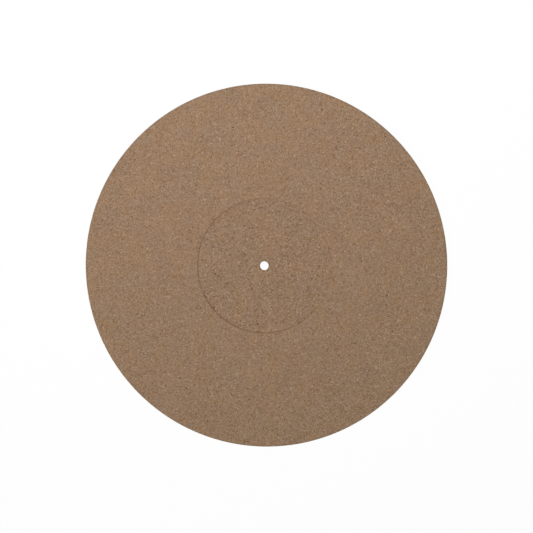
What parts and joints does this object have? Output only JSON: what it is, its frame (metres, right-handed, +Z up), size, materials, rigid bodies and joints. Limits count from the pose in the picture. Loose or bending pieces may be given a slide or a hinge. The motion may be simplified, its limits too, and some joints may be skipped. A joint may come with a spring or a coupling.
{
  "type": "turntable platter mat",
  "caption": "Flat round cork and rubber mat for a record player's platter, with a spindle hole and a shallow round recess for a record's label.",
  "frame": {"origin": "on the spindle's axis, at the underside that lies on the platter", "axes": "+Z up along the spindle's axis, out of the face that the record lies on; X and Y lie in the plane of the mat"},
  "size_m": [0.3, 0.3, 0.003],
  "materials": {
    "cork_rubber": "matte"
  },
  "bodies": {
    "root": {"platter_mat": "cork_rubber"}
  },
  "joints": []
}
